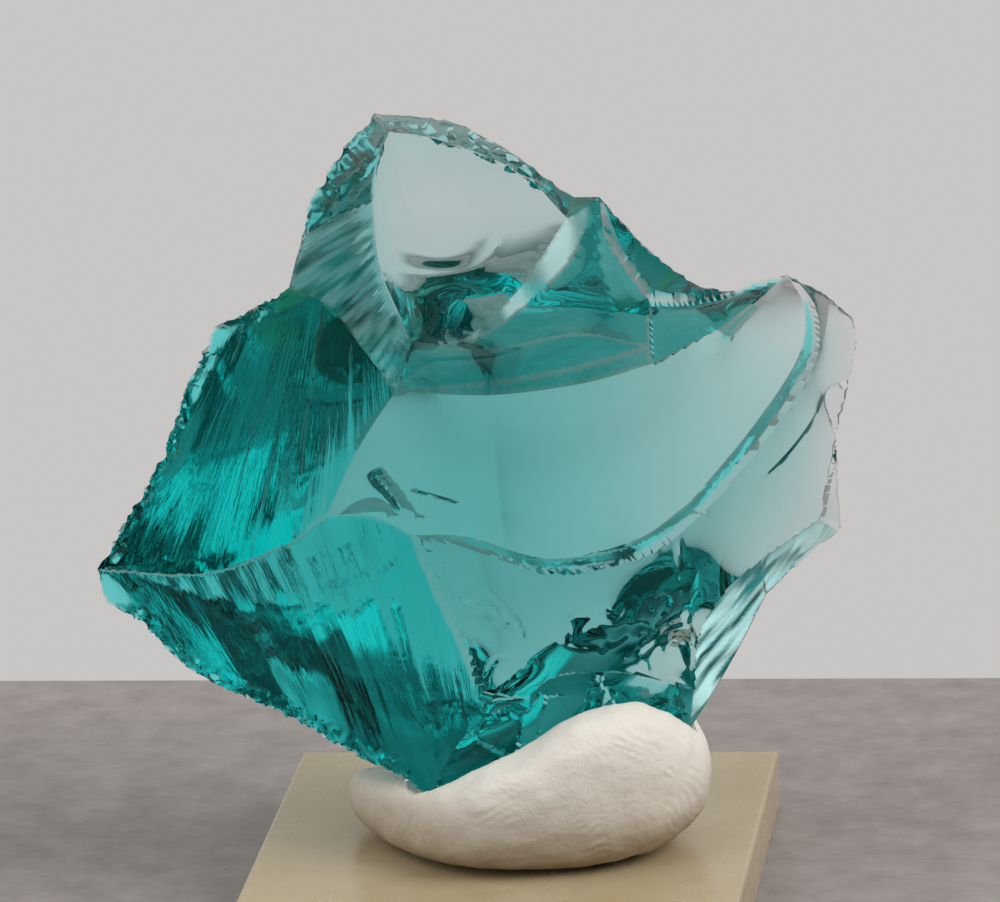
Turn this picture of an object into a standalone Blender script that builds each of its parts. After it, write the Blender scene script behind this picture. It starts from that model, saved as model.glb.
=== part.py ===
"""Andara glass specimen: a broken lump of blue-green glass, held by mounting putty on a clear base plate.

The origin is the centre of the plate's underside; +X is to the right, -Y to the front and +Z up.

The lump is a closed net of break faces.  Named corners are joined by curved ridges, and each face is
stretched over its ring of ridges like a skin, then hollowed or swollen by its own depth.
"""

from functools import cache
from math import atan2, ceil, exp, inf, pi, radians, sin

import bmesh
import bpy
import numpy as np
from mathutils import Matrix, Vector
from mathutils.geometry import delaunay_2d_cdt

MM = 0.001

# ------------------------------------------------------------------------------- driving dimensions

PLATE_SIDE = 25.4 * MM
PLATE_THICKNESS = 3.0 * MM
PLATE_EDGE_BEVEL = 0.2 * MM

# A roll of putty along X, its ends bent back, the right one less, and squeezed up into a hump on the right.
PUTTY_LENGTH = 19.0 * MM
PUTTY_DEPTH = 12.0 * MM
PUTTY_TOP = 8.0 * MM
PUTTY_HUMP = 4.8 * MM
PUTTY_BACK_DROP = 2.2 * MM
PUTTY_FRONT_BEND = 6.2 * MM
PUTTY_BACK_BEND = 1.9 * MM
RIGHT_BEND_SHARE = 0.35
PUTTY_CENTRE = (1.0 * MM, -3.5 * MM)
HUMP_PLACE = 0.66
HUMP_WIDTH = 0.70
PUTTY_SQUARENESS = 3.0
PUTTY_SINK = 0.85
PUTTY_SEGMENTS = 36
PUTTY_RINGS = 20
SEAT_TOP = 15.0 * MM

TOUCHING_GAP = 0.3 * MM
MERGE_DISTANCE = 0.01 * MM

# The lump is laid out facing the viewer, then turned, leaned back and rolled onto its putty.
GLASS_CENTRE = Vector((0.1, 0.0, 23.1)) * MM
GLASS_TURN = radians(7.2)
GLASS_LEAN = radians(-15.5)
GLASS_ROLL = radians(2.3)

RIDGE_SPACING = 0.75 * MM
# Between the points of a break face, in millimetres, and the share of that kept clear along its rim.
SMOOTH_SPACING = 0.95
HACKLED_SPACING = 0.68
RIM_CLEARANCE = 0.55
FLAT_TOLERANCE = 1e-5
ON_RIDGE_PASSES = 3
# Two ridge points are one corner of the mesh where they agree to this many decimals of a millimetre.
SHARED_DECIMALS = 4
SHARPEST_SMOOTH_ANGLE = radians(28)

# ------------------------------------------------------------------------- corners of the glass lump
# Millimetres in the lump's own frame: to the right, away from the viewer, and up.

CORNERS = {
    # Around the outline, from the top peak clockwise.
    "peak": (-6.4, 3.3, 17.3),
    "notch": (3.8, 3.4, 13.0),
    "shoulder": (5.1, 3.0, 13.0),
    "saddle": (12.1, 3.4, 8.2),
    "crest": (14.7, 3.0, 9.0),
    "corner": (18.1, 3.6, 6.8),
    "chip_top": (18.0, 3.9, 3.9),
    "nick": (17.2, 4.0, 0.6),
    "chip_low": (17.4, 3.6, -4.1),
    "bevel_top": (13.6, 1.9, -7.3),
    "heel": (9.6, 0.2, -14.2),
    "toe": (-3.5, -1.5, -17.4),
    "tip": (-20.5, 1.5, -6.0),
    "elbow": (-14.6, 1.4, 6.3),
    "collar": (-10.7, 0.5, 8.3),
    "cheek": (-10.1, 1.6, 10.9),
    # On the front.
    "knuckle": (-8.6, -7.2, -3.2),
    "window_left": (-5.2, -5.4, 3.0),
    "rim_left": (-4.4, -1.8, 5.5),
    "fan_top": (-6.4, -2.0, 12.6),
    "bevel_left": (-5.6, -0.2, 16.2),
    "rim_top": (3.4, 1.3, 11.9),
    "lip": (-0.7, -3.4, -13.3),
    "lip_up": (-1.0, -4.0, -12.2),
    "lip_right": (1.3, -3.6, -12.5),
    "low_right": (9.8, -1.7, -12.1),
    "rib_left": (-4.4, -6.4, -4.2),
    "rib_in": (9.6, -2.3, -2.6),
    "rib_out": (10.0, -3.1, -3.0),
    "bevel_in": (13.2, -0.3, -5.5),
    "chip_in": (16.3, 1.5, -3.4),
    "chip_inner": (16.5, 3.0, 3.0),
    "spur": (7.6, 1.0, 7.7),
    "lens_tip": (7.6, -0.9, 5.3),
    "brow": (7.7, -2.3, 4.4),
    "tooth": (11.0, -0.7, 4.9),
    "tooth_top": (11.3, 0.2, 6.3),
    # On the back.
    "back_top_left": (-2.7, 9.6, 5.4),
    "back_top_right": (5.5, 6.6, 5.6),
    "back_knee": (-2.8, 12.5, -5.4),
    "back_low": (-2.2, 7.0, -12.0),
    "back_heel": (8.0, 3.0, -8.8),
    "back_saddle": (10.5, 5.2, 5.3),
}

# Places that a curved ridge passes between its two corners.  A ridge that isn't here is straight.
BENDS = {
    # The outline.
    ("peak", "notch"): [(-2.4, 3.9, 16.9), (0.8, 4.0, 15.2)],
    ("shoulder", "saddle"): [(7.7, 3.1, 10.3), (10.2, 3.4, 8.4)],
    ("saddle", "crest"): [(13.2, 3.2, 8.7)],
    ("crest", "corner"): [(16.6, 3.2, 8.1)],
    ("corner", "chip_top"): [(18.3, 3.8, 5.4)],
    ("chip_top", "nick"): [(17.7, 4.0, 2.4)],
    ("nick", "chip_low"): [(17.3, 3.9, -1.8)],
    ("chip_low", "bevel_top"): [(15.9, 3.4, -5.4)],
    ("bevel_top", "heel"): [(12.4, 1.0, -9.6), (10.9, 0.4, -12.2)],
    ("heel", "toe"): [(6.5, 0.8, -16.4), (1.5, -0.6, -17.8)],
    ("toe", "tip"): [(-7.3, -0.4, -15.5), (-11.2, 0.5, -13.4), (-16.1, 1.1, -11.0), (-18.6, 1.4, -8.6),
                     (-20.1, 1.4, -7.7)],
    ("tip", "elbow"): [(-19.4, 1.6, -3.9), (-17.3, 1.8, -0.2), (-16.1, 1.8, 3.2)],
    ("elbow", "collar"): [(-12.8, 1.1, 7.2)],
    ("cheek", "peak"): [(-9.8, 1.9, 12.7), (-8.2, 2.6, 15.3)],
    # The two streaked faces on the left.
    ("tip", "knuckle"): [(-15.2, -1.6, -6.2), (-11.2, -4.7, -4.9)],
    ("knuckle", "window_left"): [(-7.0, -6.5, 0.2)],
    ("window_left", "collar"): [(-6.8, -3.6, 5.0), (-8.6, -1.4, 7.2)],
    ("lip", "toe"): [(-2.2, -2.7, -14.9)],
    ("rib_left", "lip_up"): [(-3.4, -5.8, -6.8), (-2.0, -4.9, -9.8)],
    ("knuckle", "rib_left"): [(-6.5, -6.9, -3.2)],
    # The large window and the curved step across it.
    ("rib_left", "rib_in"): [(-1.6, -5.4, -4.3), (2.5, -4.4, -5.4), (6.8, -3.1, -4.5)],
    ("rib_left", "rib_out"): [(-1.6, -6.0, -4.7), (2.5, -5.2, -6.0), (7.1, -3.9, -5.1)],
    ("rib_in", "crest"): [(12.8, -0.8, 1.2), (15.2, 1.1, 4.8), (15.5, 2.1, 7.4)],
    ("rib_out", "crest"): [(13.4, -1.7, 1.0), (15.8, 0.2, 4.8), (15.8, 1.7, 7.4)],
    ("brow", "window_left"): [(4.2, -3.5, 3.4), (-0.5, -4.7, 2.8)],
    # The shoulder and the top lobe.
    ("rim_left", "lens_tip"): [(-0.5, -2.3, 5.1), (4.0, -1.6, 5.9)],
    ("lens_tip", "window_left"): [(4.2, -2.8, 4.3), (0.0, -4.1, 3.5)],
    ("spur", "shoulder"): [(5.5, 2.0, 10.9)],
    ("spur", "saddle"): [(9.7, 1.9, 7.7)],
    ("rim_left", "shoulder"): [(-1.4, -1.5, 5.6), (2.4, 0.2, 8.4), (4.4, 1.8, 11.2)],
    ("rim_left", "rim_top"): [(-1.6, -1.2, 5.9), (1.0, 0.4, 8.4)],
    ("bevel_left", "rim_top"): [(-3.0, 0.4, 15.8), (1.0, 1.0, 14.2)],
    ("bevel_left", "fan_top"): [(-6.2, -1.2, 14.6)],
    ("fan_top", "rim_left"): [(-6.0, -2.5, 9.2)],
    ("cheek", "fan_top"): [(-8.2, -0.2, 12.0)],
    # The underside and the bright bevels on the right.
    ("lip_right", "low_right"): [(2.7, -3.5, -11.4), (6.2, -2.7, -11.2)],
    ("low_right", "bevel_in"): [(10.0, -1.3, -9.4), (11.2, -0.8, -7.3)],
    ("chip_in", "nick"): [(16.7, 3.0, -1.6)],
    # The back.
    ("back_top_left", "back_top_right"): [(1.5, 8.4, 5.6)],
    ("back_top_left", "back_knee"): [(-2.8, 11.5, 2.2), (-2.9, 12.6, -1.6)],
    ("back_knee", "back_low"): [(-2.6, 10.4, -9.2)],
    ("back_low", "back_heel"): [(-0.4, 8.8, -10.8), (1.4, 9.0, -9.0), (4.6, 8.0, -7.8)],
    ("back_heel", "heel"): [(8.6, 3.8, -10.0)],
    ("tip", "back_knee"): [(-12.5, 7.0, -6.2), (-7.5, 10.6, -5.2)],
}

# Each break face: its ring of corners, then how deep it is hollowed (or, below zero, swollen) in mm.
FACES = {
    "left_high": (("collar", "elbow", "tip", "knuckle", "window_left"), 0.1),
    "left_low": (("tip", "toe", "lip", "lip_up", "rib_left", "knuckle"), 0.3),
    "window": (("window_left", "knuckle", "rib_left", "rib_in", "crest", "tooth", "tooth_top", "brow"), 0.6),
    "step": (("rib_left", "rib_out", "crest", "rib_in"), 0.0),
    "skirt": (("rib_left", "lip_up", "lip_right", "low_right", "bevel_in", "chip_in", "nick", "chip_inner",
               "chip_top", "corner", "crest", "rib_out"), 0.1),
    "chip": (("chip_top", "chip_inner", "nick"), 0.1),
    "belly": (("lip", "toe", "heel", "low_right", "lip_right"), -0.5),
    "lip_chip": (("lip", "lip_right", "lip_up"), 0.2),
    "lower_bevel": (("low_right", "heel", "bevel_top", "bevel_in"), 0.1),
    "right_bevel": (("bevel_in", "bevel_top", "chip_low", "chip_in"), 0.1),
    "right_edge": (("chip_in", "chip_low", "nick"), 0.0),
    "tooth_flat": (("crest", "tooth_top", "tooth"), 0.0),
    "shelf": (("spur", "saddle", "crest", "tooth_top", "brow", "lens_tip"), 0.3),
    "lens": (("rim_left", "lens_tip", "window_left"), 0.25),
    "strip": (("lens_tip", "brow", "window_left"), 0.0),
    "slope_low": (("rim_left", "lens_tip", "spur", "shoulder"), 0.3),
    "slope_high": (("spur", "saddle", "shoulder"), 0.15),
    "crescent": (("rim_left", "shoulder", "rim_top"), 0.0),
    "ear": (("rim_top", "shoulder", "notch"), 0.0),
    "bowl": (("fan_top", "rim_left", "rim_top", "bevel_left"), 3.2),
    "top_bevel": (("bevel_left", "rim_top", "notch", "peak"), 0.1),
    "left_margin": (("peak", "cheek", "fan_top", "bevel_left"), 0.1),
    "fan": (("cheek", "collar", "window_left", "rim_left", "fan_top"), 0.2),
    "back_lobe": (("peak", "notch", "shoulder", "back_top_right", "back_top_left", "collar", "cheek"), -0.7),
    "back_slope": (("shoulder", "saddle", "back_saddle", "back_top_right"), 0.0),
    "back_left": (("collar", "back_top_left", "back_knee", "tip", "elbow"), -0.7),
    "back_foot": (("tip", "back_knee", "back_low", "toe"), -0.3),
    "back_floor": (("toe", "back_low", "back_heel", "heel"), -0.2),
    "back_main": (("back_top_left", "back_top_right", "back_saddle", "saddle", "crest", "corner", "chip_top",
                   "nick", "chip_low", "bevel_top", "heel", "back_heel", "back_low", "back_knee"), -0.6),
}

# Hackle: fine ridges that spread like rays from the place where a break began.  A face's rays start at a
# point in the lump's frame (mm), have a height (mm) and a count of ridges in a full turn.
HACKLE = {
    "left_high": ((-8.0, -4.0, 14.0), 0.12, 38),
    "left_low": ((-16.0, -2.0, 4.0), 0.14, 34),
    "left_margin": ((-4.0, 2.0, 9.0), 0.08, 30),
    "fan": ((-3.0, -2.0, 3.0), 0.08, 28),
}
# A second, weaker set of rays crosses the first: how high it is, how many it has, and where it starts.
SECOND_RAY_HEIGHT = 0.5
SECOND_RAY_COUNT = 0.43
SECOND_RAY_SHIFT = 1.0
RAY_FADE = 3.0


# ------------------------------------------------------------------------------------ small helpers

def material(name, colour, roughness, transmission=0.0, ior=1.5):
    """A Principled material with the given linear colour."""
    finish = bpy.data.materials.new(name)
    finish.use_nodes = True
    shader = finish.node_tree.nodes["Principled BSDF"]
    shader.inputs["Base Color"].default_value = (*colour, 1.0)
    shader.inputs["Roughness"].default_value = roughness
    shader.inputs["Metallic"].default_value = 0.0
    shader.inputs["Transmission Weight"].default_value = transmission
    shader.inputs["IOR"].default_value = ior
    return finish


def new_object(name, shape, finish=None):
    """Turn a bmesh into a named object in the scene."""
    mesh = bpy.data.meshes.new(name)
    shape.to_mesh(mesh)
    shape.free()
    item = bpy.data.objects.new(name, mesh)
    bpy.context.scene.collection.objects.link(item)
    if finish:
        mesh.materials.append(finish)
    return item


def smooth_curve(points, spacing):
    """Points spaced evenly enough along a Catmull-Rom curve through the given points, ends included."""
    padded = [2 * points[0] - points[1], *points, 2 * points[-1] - points[-2]]
    curve = [points[0]]
    for before, start, end, after in zip(padded, padded[1:], padded[2:], padded[3:]):
        steps = max(1, round((end - start).length / spacing))
        for step in range(1, steps + 1):
            t = step / steps
            bend = (2 * before - 5 * start + 4 * end - after) * t * t
            twist = (3 * start - before - 3 * end + after) * t * t * t
            curve.append((2 * start + (end - before) * t + bend + twist) / 2)
    return curve


# ---------------------------------------------------------------------------------------- the glass

@cache
def ridge(first, last):
    """The points of the ridge from one corner to another, the same whichever way it is walked."""
    if (last, first) in BENDS or ((first, last) not in BENDS and last < first):
        return ridge(last, first)[::-1]
    places = [CORNERS[first], *BENDS.get((first, last), []), CORNERS[last]]
    return smooth_curve([Vector(place) * MM for place in places], RIDGE_SPACING)


def face_ring(corners):
    """The closed ring of ridge points around a break face, and where in it each ridge starts and ends."""
    ring = []
    ridge_ends = [0]
    for first, last in zip(corners, corners[1:] + corners[:1]):
        ring += ridge(first, last)[:-1]
        ridge_ends.append(len(ring))
    return ring, ridge_ends


def ring_plane(ring):
    """Centre and axes of the plane that fits a ring best; the third axis is square to the plane."""
    centre = sum(ring, Vector()) / len(ring)
    normal = Vector()
    for here, there in zip(ring, ring[1:] + ring[:1]):
        normal += (here - centre).cross(there - centre)
    normal.normalize()
    across = normal.orthogonal().normalized()
    return centre, across, normal.cross(across), normal


def inside(x, y, outline):
    """Whether a point lies inside an outline, and its distance from it."""
    hit = False
    nearest = inf
    point = Vector((x, y))
    for a, b in zip(outline, outline[1:] + outline[:1]):
        if (a.y > y) != (b.y > y) and x < (b.x - a.x) * (y - a.y) / (b.y - a.y) + a.x:
            hit = not hit
        edge = b - a
        t = min(1.0, max(0.0, (point - a).dot(edge) / edge.length_squared))
        nearest = min(nearest, (a + edge * t - point).length)
    return hit, nearest


def fill_points(outline, spacing):
    """A honeycomb of points inside an outline, clear of its edge."""
    low_x, high_x = min(p.x for p in outline), max(p.x for p in outline)
    low_y, high_y = min(p.y for p in outline), max(p.y for p in outline)
    row_height = spacing * 3 ** 0.5 / 2
    found = []
    for row in range(ceil((high_y - low_y) / row_height)):
        y = low_y + (row + 0.5) * row_height
        shift = spacing / 2 * (row % 2)
        for column in range(ceil((high_x - low_x) / spacing) + 1):
            x = low_x + column * spacing + shift
            hit, distance = inside(x, y, outline)
            if hit and distance > spacing * RIM_CLEARANCE:
                found.append(Vector((x, y)))
    return found


def triangulate(flat, rim):
    """Triangles between flat points, kept to the inside of the ring that the first of them form."""
    made = delaunay_2d_cdt(flat, [], [list(range(rim))], 1, FLAT_TOLERANCE, True)
    found = []
    for triangle in made[2]:
        a, b, c = (made[3][corner][0] for corner in triangle)
        area = abs((flat[b] - flat[a]).cross(flat[c] - flat[a])) / 2
        middle = (flat[a] + flat[b] + flat[c]) / 3
        if area > FLAT_TOLERANCE and inside(middle.x, middle.y, flat[:rim])[0]:
            found.append([a, b, c])
    return found


def triangles_on_one_ridge(triangles, ridge_ends):
    """Triangles with all three corners on the same ridge, which the face beyond it could make as well."""
    rim = ridge_ends[-1]
    found = []
    for triangle in triangles:
        for start, end in zip(ridge_ends, ridge_ends[1:]):
            if all(start <= corner <= end or (corner == 0 and end == rim) for corner in triangle):
                found.append(triangle)
    return found


def relax(heights, triangles, fixed):
    """Solve the skin stretched over its fixed rim, and a bubble of height 1 standing on the same rim."""
    count = len(heights)
    pull = np.zeros((count, count))
    for triangle in triangles:
        for a, b in zip(triangle, triangle[1:] + triangle[:1]):
            pull[a, b] = pull[b, a] = 1.0
    stiffness = np.diag(pull.sum(axis=1)) - pull
    free = np.arange(fixed, count)
    skin = np.array(heights)
    bubble = np.zeros(count)
    if len(free):
        inner = stiffness[np.ix_(free, free)]
        skin[free] = np.linalg.solve(inner, -stiffness[np.ix_(free, np.arange(fixed))] @ skin[:fixed])
        bubble[free] = np.linalg.solve(inner, np.ones(len(free)))
        bubble /= bubble.max()
    return skin, bubble


def hackle_height(name, place, strength):
    """Height of the rays on a hackled face, fading out towards its ridges."""
    if name not in HACKLE:
        return 0.0
    start, height, count = HACKLE[name]
    reach = place - Vector(start) * MM
    angle = atan2(reach.z, reach.x)
    ray = sin(count * angle)
    ray += SECOND_RAY_HEIGHT * sin(count * SECOND_RAY_COUNT * angle + SECOND_RAY_SHIFT)
    return ray * height * MM * min(1.0, RAY_FADE * strength)


def break_face(shape, name, corners, hollow, shared):
    """Add one break face to the lump, meeting its neighbours along the ridges they share."""
    ring, ridge_ends = face_ring(corners)
    centre, across, up, normal = ring_plane(ring)
    rim = len(ring)
    flat = [Vector(((p - centre).dot(across), (p - centre).dot(up))) / MM for p in ring]
    flat += fill_points(flat, HACKLED_SPACING if name in HACKLE else SMOOTH_SPACING)
    triangles = triangulate(flat, rim)
    for _ in range(ON_RIDGE_PASSES):
        for a, b, c in triangles_on_one_ridge(triangles, ridge_ends):
            flat.append((flat[a] + flat[b] + flat[c]) / 3)
        triangles = triangulate(flat, rim)
    heights = [(p - centre).dot(normal) for p in ring] + [0.0] * (len(flat) - rim)
    skin, bubble = relax(heights, triangles, rim)
    made = []
    for index, spot in enumerate(flat):
        if index < rim:
            key = tuple(round(value / MM, SHARED_DECIMALS) for value in ring[index])
            if key not in shared:
                shared[key] = shape.verts.new(ring[index])
            made.append(shared[key])
            continue
        place = centre + (across * spot.x + up * spot.y) * MM
        height = skin[index] - hollow * MM * bubble[index] + hackle_height(name, place, bubble[index])
        made.append(shape.verts.new(place + normal * height))
    for triangle in triangles:
        shape.faces.new([made[corner] for corner in triangle])


def glass():
    """The lump of glass, in place."""
    shape = bmesh.new()
    shared = {}
    for name, (corners, hollow) in FACES.items():
        break_face(shape, name, corners, hollow, shared)
    bmesh.ops.recalc_face_normals(shape, faces=shape.faces)
    shape.transform(glass_place())
    finish = material("teal_glass", colour=(0.10, 0.55, 0.52), roughness=0.02, transmission=1.0)
    lump = new_object("andara_glass", shape, finish)
    lump.data.shade_smooth()
    lump.data.set_sharp_from_angle(angle=SHARPEST_SMOOTH_ANGLE)
    return lump


def glass_place():
    """Where the lump's own frame stands over the plate."""
    turn = Matrix.Rotation(GLASS_TURN, 4, "Z")
    lean = Matrix.Rotation(GLASS_LEAN, 4, "X")
    roll = Matrix.Rotation(GLASS_ROLL, 4, "Y")
    return Matrix.Translation(GLASS_CENTRE) @ turn @ lean @ roll


# ---------------------------------------------------------------------------------------- the putty

def putty_place(spot):
    """Where a point of a unit ball goes on the roll of putty."""
    size = sum(abs(value) ** PUTTY_SQUARENESS for value in spot) ** (1 / PUTTY_SQUARENESS)
    along, back, up = spot / size
    bottom = PLATE_THICKNESS + TOUCHING_GAP
    top = PUTTY_TOP + PUTTY_HUMP * exp(-((along - HUMP_PLACE) / HUMP_WIDTH) ** 2)
    top -= PUTTY_BACK_DROP * (back + 1) / 2
    bend = PUTTY_FRONT_BEND + (PUTTY_BACK_BEND - PUTTY_FRONT_BEND) * (back + 1) / 2
    bend *= along * along * (RIGHT_BEND_SHARE if along > 0 else 1.0)
    x = PUTTY_CENTRE[0] + along * PUTTY_LENGTH / 2
    y = PUTTY_CENTRE[1] + back * PUTTY_DEPTH / 2 + bend
    z = bottom + (top - bottom) * max(0.0, up + PUTTY_SINK) / (1 + PUTTY_SINK)
    return Vector((x, y, z))


def pressed_hollow(lump):
    """A guide, slightly larger than the foot of the lump, that presses a seat for it into the putty."""
    shape = bmesh.new()
    for vertex in lump.data.vertices:
        if vertex.co.z < SEAT_TOP:
            shape.verts.new(vertex.co)
    hull = bmesh.ops.convex_hull(shape, input=shape.verts)
    bmesh.ops.delete(shape, geom=hull["geom_interior"], context="VERTS")
    bmesh.ops.recalc_face_normals(shape, faces=shape.faces)
    shape.normal_update()
    pushed = [(vertex, vertex.co + vertex.normal * vertex.calc_shell_factor() * TOUCHING_GAP)
              for vertex in shape.verts]
    for vertex, place in pushed:
        vertex.co = place
    guide = new_object("seat_guide", shape)
    guide.hide_render = True
    guide.display_type = "WIRE"
    return guide


def putty(lump):
    """The roll of putty, with the lump's foot pressed into its top."""
    shape = bmesh.new()
    bmesh.ops.create_uvsphere(shape, u_segments=PUTTY_SEGMENTS, v_segments=PUTTY_RINGS, radius=1.0,
                              matrix=Matrix.Rotation(pi / 2, 4, "Y"))
    for vertex in shape.verts:
        vertex.co = putty_place(vertex.co)
    bmesh.ops.remove_doubles(shape, verts=shape.verts, dist=MERGE_DISTANCE)
    bmesh.ops.recalc_face_normals(shape, faces=shape.faces)
    finish = material("white_putty", colour=(0.60, 0.55, 0.45), roughness=0.7)
    roll = new_object("mounting_putty", shape, finish)
    roll.data.shade_smooth()
    cut = roll.modifiers.new("seat", "BOOLEAN")
    cut.operation = "DIFFERENCE"
    cut.object = pressed_hollow(lump)
    return roll


# ---------------------------------------------------------------------------------------- the plate

def plate():
    """The square base plate, with its edges eased."""
    shape = bmesh.new()
    bmesh.ops.create_cube(shape, size=1.0)
    bmesh.ops.scale(shape, vec=(PLATE_SIDE, PLATE_SIDE, PLATE_THICKNESS), verts=shape.verts)
    bmesh.ops.translate(shape, vec=(0, 0, PLATE_THICKNESS / 2), verts=shape.verts)
    bmesh.ops.bevel(shape, geom=shape.edges[:], offset=PLATE_EDGE_BEVEL, segments=2, profile=0.5,
                    affect="EDGES")
    finish = material("yellowed_acrylic", (0.62, 0.53, 0.38), roughness=0.08, transmission=0.6, ior=1.49)
    return new_object("base_plate", shape, finish)


for old in list(bpy.data.objects):
    bpy.data.objects.remove(old)
putty(glass())
plate()
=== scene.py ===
"""The looks of an andara glass specimen: the lump of glass, its putty and its base plate.

The lump is made in its own frame, in millimetres: x to the right, y away from the viewer, z up, before
it was turned, leaned and rolled onto its putty.
"""

import random
from math import cos, exp, pi, radians, sin

import bmesh
import bpy
import numpy as np
from mathutils import Matrix, Vector, noise
from mathutils.geometry import delaunay_2d_cdt

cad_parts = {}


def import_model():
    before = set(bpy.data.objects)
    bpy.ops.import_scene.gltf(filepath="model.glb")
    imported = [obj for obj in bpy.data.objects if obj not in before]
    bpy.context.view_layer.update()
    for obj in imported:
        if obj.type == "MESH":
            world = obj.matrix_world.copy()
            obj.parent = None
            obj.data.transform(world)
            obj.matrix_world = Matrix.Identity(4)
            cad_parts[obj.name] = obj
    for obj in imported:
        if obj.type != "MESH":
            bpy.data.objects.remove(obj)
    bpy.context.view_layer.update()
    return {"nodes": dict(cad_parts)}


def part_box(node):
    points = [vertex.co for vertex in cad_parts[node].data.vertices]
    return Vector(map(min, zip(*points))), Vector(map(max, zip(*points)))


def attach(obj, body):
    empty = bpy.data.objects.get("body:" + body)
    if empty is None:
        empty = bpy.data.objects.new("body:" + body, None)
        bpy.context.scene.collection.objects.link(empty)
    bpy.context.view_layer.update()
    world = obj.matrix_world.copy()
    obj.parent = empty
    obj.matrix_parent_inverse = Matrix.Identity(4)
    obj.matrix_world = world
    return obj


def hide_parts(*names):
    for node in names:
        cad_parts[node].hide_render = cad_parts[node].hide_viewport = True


MM = 0.001

# The viewer's place, the middle of the view, its lens and the width of the picture behind that (both in
# mm), and the nearest and farthest that it sees (m).
VIEW_AZIMUTH = radians(7.20)
VIEW_HEIGHT_ANGLE = radians(15.50)
VIEW_ROLL = radians(2.31)
VIEW_TARGET = Vector((0.12, 0.0, 23.10)) * MM
VIEW_DISTANCE = 380.74 * MM
LENS = 270.0
PICTURE_WIDTH = 36.0
NEAREST = 0.01
FARTHEST = 20.0

# The lump is laid out facing the viewer, then turned, leaned back and rolled onto its putty.
GLASS_CENTRE = Vector((0.1, 0.0, 23.1)) * MM
GLASS_TURN = radians(7.2)
GLASS_LEAN = radians(-15.5)
GLASS_ROLL = radians(2.3)
LUMP_PLACE = (Matrix.Translation(GLASS_CENTRE) @ Matrix.Rotation(GLASS_TURN, 4, "Z")
              @ Matrix.Rotation(GLASS_LEAN, 4, "X") @ Matrix.Rotation(GLASS_ROLL, 4, "Y"))

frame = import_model()


# ------------------------------------------------------------------------- corners of the glass lump
# Millimetres in the lump's own frame: to the right, away from the viewer, and up.

CORNERS = {
    # Around the outline, from the top peak clockwise.
    "peak": (-6.4, 3.3, 17.3),
    "notch": (3.8, 3.4, 13.0),
    "shoulder": (5.1, 3.0, 13.0),
    "saddle": (12.1, 3.4, 8.2),
    "crest": (14.7, 3.0, 9.0),
    "corner": (18.1, 3.6, 6.8),
    "chip_top": (18.0, 3.9, 3.9),
    "nick": (17.2, 4.0, 0.6),
    "chip_low": (17.4, 3.6, -4.1),
    "bevel_top": (13.6, 1.9, -7.3),
    "heel": (9.6, 0.2, -14.2),
    "toe": (-3.5, -1.5, -17.4),
    "tip": (-20.5, 1.5, -6.0),
    "elbow": (-14.6, 1.4, 6.3),
    "collar": (-10.7, 0.5, 8.3),
    "cheek": (-10.1, 1.6, 10.9),
    # On the front.
    "knuckle": (-8.6, -7.2, -3.2),
    "window_left": (-5.2, -5.4, 3.0),
    "rim_left": (-4.4, -1.8, 5.5),
    "fan_top": (-6.4, -2.0, 12.6),
    "bevel_left": (-5.6, -0.2, 16.2),
    "rim_top": (3.4, 1.3, 11.9),
    "lip": (-0.7, -3.4, -13.3),
    "lip_up": (-1.0, -4.0, -12.2),
    "lip_right": (1.3, -3.6, -12.5),
    "low_right": (9.8, -1.7, -12.1),
    "rib_left": (-4.4, -6.4, -4.2),
    "rib_in": (9.6, -2.3, -2.6),
    "rib_out": (10.0, -3.1, -3.0),
    "bevel_in": (13.2, -0.3, -5.5),
    "chip_in": (16.3, 1.5, -3.4),
    "chip_inner": (16.5, 3.0, 3.0),
    "spur": (7.6, 1.0, 7.7),
    "lens_tip": (7.6, -0.9, 5.3),
    "brow": (7.7, -2.3, 4.4),
    "tooth": (11.0, -0.7, 4.9),
    "tooth_top": (11.3, 0.2, 6.3),
    # On the back.
    "back_top_left": (-2.7, 9.6, 5.4),
    "back_top_right": (5.5, 6.6, 5.6),
    "back_knee": (-2.8, 12.5, -5.4),
    "back_low": (-2.2, 7.0, -12.0),
    "back_heel": (8.0, 3.0, -8.8),
    "back_saddle": (10.5, 5.2, 5.3),
}

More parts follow.
